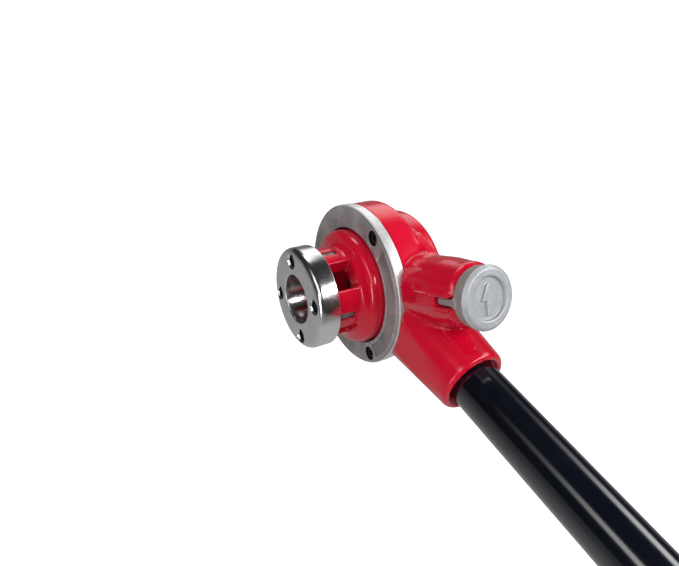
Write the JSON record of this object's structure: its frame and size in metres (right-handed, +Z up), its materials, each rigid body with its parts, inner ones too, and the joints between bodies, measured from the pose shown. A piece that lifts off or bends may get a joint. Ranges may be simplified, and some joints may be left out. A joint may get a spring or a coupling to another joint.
{
  "type": "ratchet pipe threader",
  "caption": "Hand pipe threader: tubular handle, cast ratchet head with a reversible pawl, and a drop-in die head holding four dies behind a screwed cover plate.",
  "frame": {"origin": "on the pipe axis, level with the middle of the handle, inside the rear pipe guide", "axes": "+X along the pipe from the cover plate to the rear guide, -Y along the handle, +Z up with the handle held level"},
  "size_m": [0.101, 0.66, 0.1366],
  "materials": {
    "red_enamel": "glossy enamel over cast iron",
    "cast_plate": "dull grey cast and machined",
    "black_screw": "blackened steel",
    "handle_paint": "gloss blue-black paint",
    "black_plastic": "moulded black plastic",
    "turned_steel": "turned steel",
    "ratchet_steel": "oiled machined steel",
    "die_steel": "dark hardened steel",
    "chrome_cover": "polished chrome plate",
    "zinc_knob": "cast zinc, fine satin"
  },
  "bodies": {
    "ratchet_head": {"head_casting": "red_enamel", "face_plate": "cast_plate", "face_plate_screws": "black_screw", "handle_tube": "handle_paint", "handle_end_plug": "black_plastic", "spring_bushing": "turned_steel", "bushing_clip": "turned_steel"},
    "ratchet": {"ratchet_wheel": "ratchet_steel"},
    "die_head": {"die_head_body": "red_enamel", "retaining_ring": "turned_steel", "die_1": "die_steel", "die_2": "die_steel", "die_3": "die_steel", "die_4": "die_steel", "cover_plate": "chrome_cover", "cover_screws": "black_screw"},
    "pawl_set": {"pawl": "turned_steel", "pawl_knob": "zinc_knob", "pawl_pin": "turned_steel", "pawl_spring": "turned_steel"}
  },
  "joints": [
    {"name": "ratchet_turn", "type": "hinge", "parent": "ratchet_head", "child": "ratchet", "pos_m": [0, 0, 0], "axis": [1, 0, 0], "continuous": true},
    {"name": "die_head_pull", "type": "slide", "parent": "ratchet", "child": "die_head", "axis": [-1, 0, 0], "range_m": [0, 0.06], "deforming": ["retaining_ring"]},
    {"name": "pawl_lift", "type": "slide", "parent": "ratchet_head", "child": "pawl_set", "axis": [0, -0.8599, 0.5105], "range_m": [0, 0.015], "stiffness_N_per_m": 1500, "springref_m": -0.012, "deforming": ["pawl_spring"]}
  ]
}
